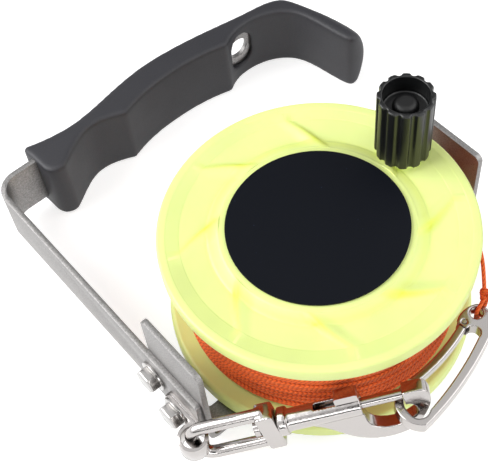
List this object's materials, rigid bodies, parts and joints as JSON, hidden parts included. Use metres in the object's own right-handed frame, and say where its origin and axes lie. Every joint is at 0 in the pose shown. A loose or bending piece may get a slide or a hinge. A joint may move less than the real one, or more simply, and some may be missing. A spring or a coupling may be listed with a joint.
{
  "type": "dive reel",
  "caption": "Hand-held dive reel: spool of braided line on a U-shaped steel bracket with a side grip, winding knob, stop lever and a clipped bolt snap.",
  "frame": {"origin": "on the spool's axis, in the underside of the bracket's strap, which the reel rests on", "axes": "+Z along the spool's axis, away from the strap; +X along the strap towards the free cheek; +Y towards the grip"},
  "size_m": [0.1912, 0.218, 0.0945],
  "materials": {
    "satin_steel": "satin sheet stainless steel",
    "bolt_steel": "plain machined stainless steel",
    "polished_steel": "polished cast stainless steel",
    "neon_plastic": "satin moulded plastic, translucent yellow-green",
    "black_plastic": "satin moulded plastic",
    "black_grip": "finely grained moulded grip",
    "bush_plastic": "plain acetal",
    "label_film": "dark printed film",
    "orange_line": "braided line"
  },
  "bodies": {
    "frame": {"base_bracket": "satin_steel", "handle_bar": "satin_steel", "grip": "black_grip", "frame_bolts": "bolt_steel", "frame_washers": "bolt_steel", "frame_nuts": "bolt_steel", "strap_loop": "satin_steel", "axle_pin": "bolt_steel", "axle_washer": "bolt_steel", "axle_nut": "bolt_steel", "lever_pivot": "bolt_steel", "lever_washer": "bolt_steel", "line_lead": "orange_line"},
    "spool": {"lower_flange": "neon_plastic", "upper_flange": "neon_plastic", "hub_bush": "bush_plastic", "label_disc": "label_film", "spool_screws": "bolt_steel", "ratchet_lugs": "black_plastic", "line_core": "orange_line", "line_winding": "orange_line", "knob_bolt": "bolt_steel", "knob_nut": "bolt_steel", "knob_washer": "bolt_steel"},
    "knob": {"knob": "black_plastic"},
    "lever": {"stop_lever": "satin_steel", "lever_pad": "black_plastic", "click_spring": "satin_steel", "click_rivet": "bolt_steel"},
    "eye": {"snap_eye": "polished_steel"},
    "snap": {"snap_body": "polished_steel", "swivel_rivet": "polished_steel"},
    "bolt": {"snap_bolt": "polished_steel"},
    "hook": {"line_hook": "polished_steel", "gate_pin": "polished_steel", "line_knot": "orange_line"},
    "gate": {"hook_gate": "polished_steel"}
  },
  "joints": [
    {"name": "spool_spin", "type": "hinge", "parent": "frame", "child": "spool", "pos_m": [0, 0, 0.03], "axis": [0, 0, 1], "continuous": true},
    {"name": "knob_spin", "type": "hinge", "parent": "spool", "child": "knob", "pos_m": [0.04984, 0.00401, 0.075], "axis": [0, 0, 1], "continuous": true},
    {"name": "lever_swing", "type": "hinge", "parent": "frame", "child": "lever", "pos_m": [0.03511, 0.00941, 0.0038], "axis": [0, 0, 1], "range_deg": [-8, 8]},
    {"name": "eye_swing", "type": "hinge", "parent": "frame", "child": "eye", "pos_m": [-0.0836, -0.02, 0.018], "axis": [0, 0, 1], "range_deg": [-6, 0]},
    {"name": "snap_swivel", "type": "hinge", "parent": "eye", "child": "snap", "pos_m": [-0.0836, -0.02, 0.018], "axis": [0.7952, -0.5507, 0.2538], "range_deg": [-5, 0]},
    {"name": "bolt_slide", "type": "slide", "parent": "snap", "child": "bolt", "axis": [-0.7952, 0.5507, -0.2538], "range_m": [0, 0.011], "stiffness_N_per_m": 150, "springref_m": -0.005},
    {"name": "hook_swing", "type": "hinge", "parent": "snap", "child": "hook", "pos_m": [-0.01831, -0.0654, 0.0315], "axis": [0, 0, 1], "range_deg": [-4, 0]},
    {"name": "gate_swing", "type": "hinge", "parent": "hook", "child": "gate", "pos_m": [0.02313, -0.05849, 0.0315], "axis": [0, 0, 1], "range_deg": [0, 6], "stiffness_Nm_per_rad": 0.02, "springref_deg": -5.73}
  ]
}
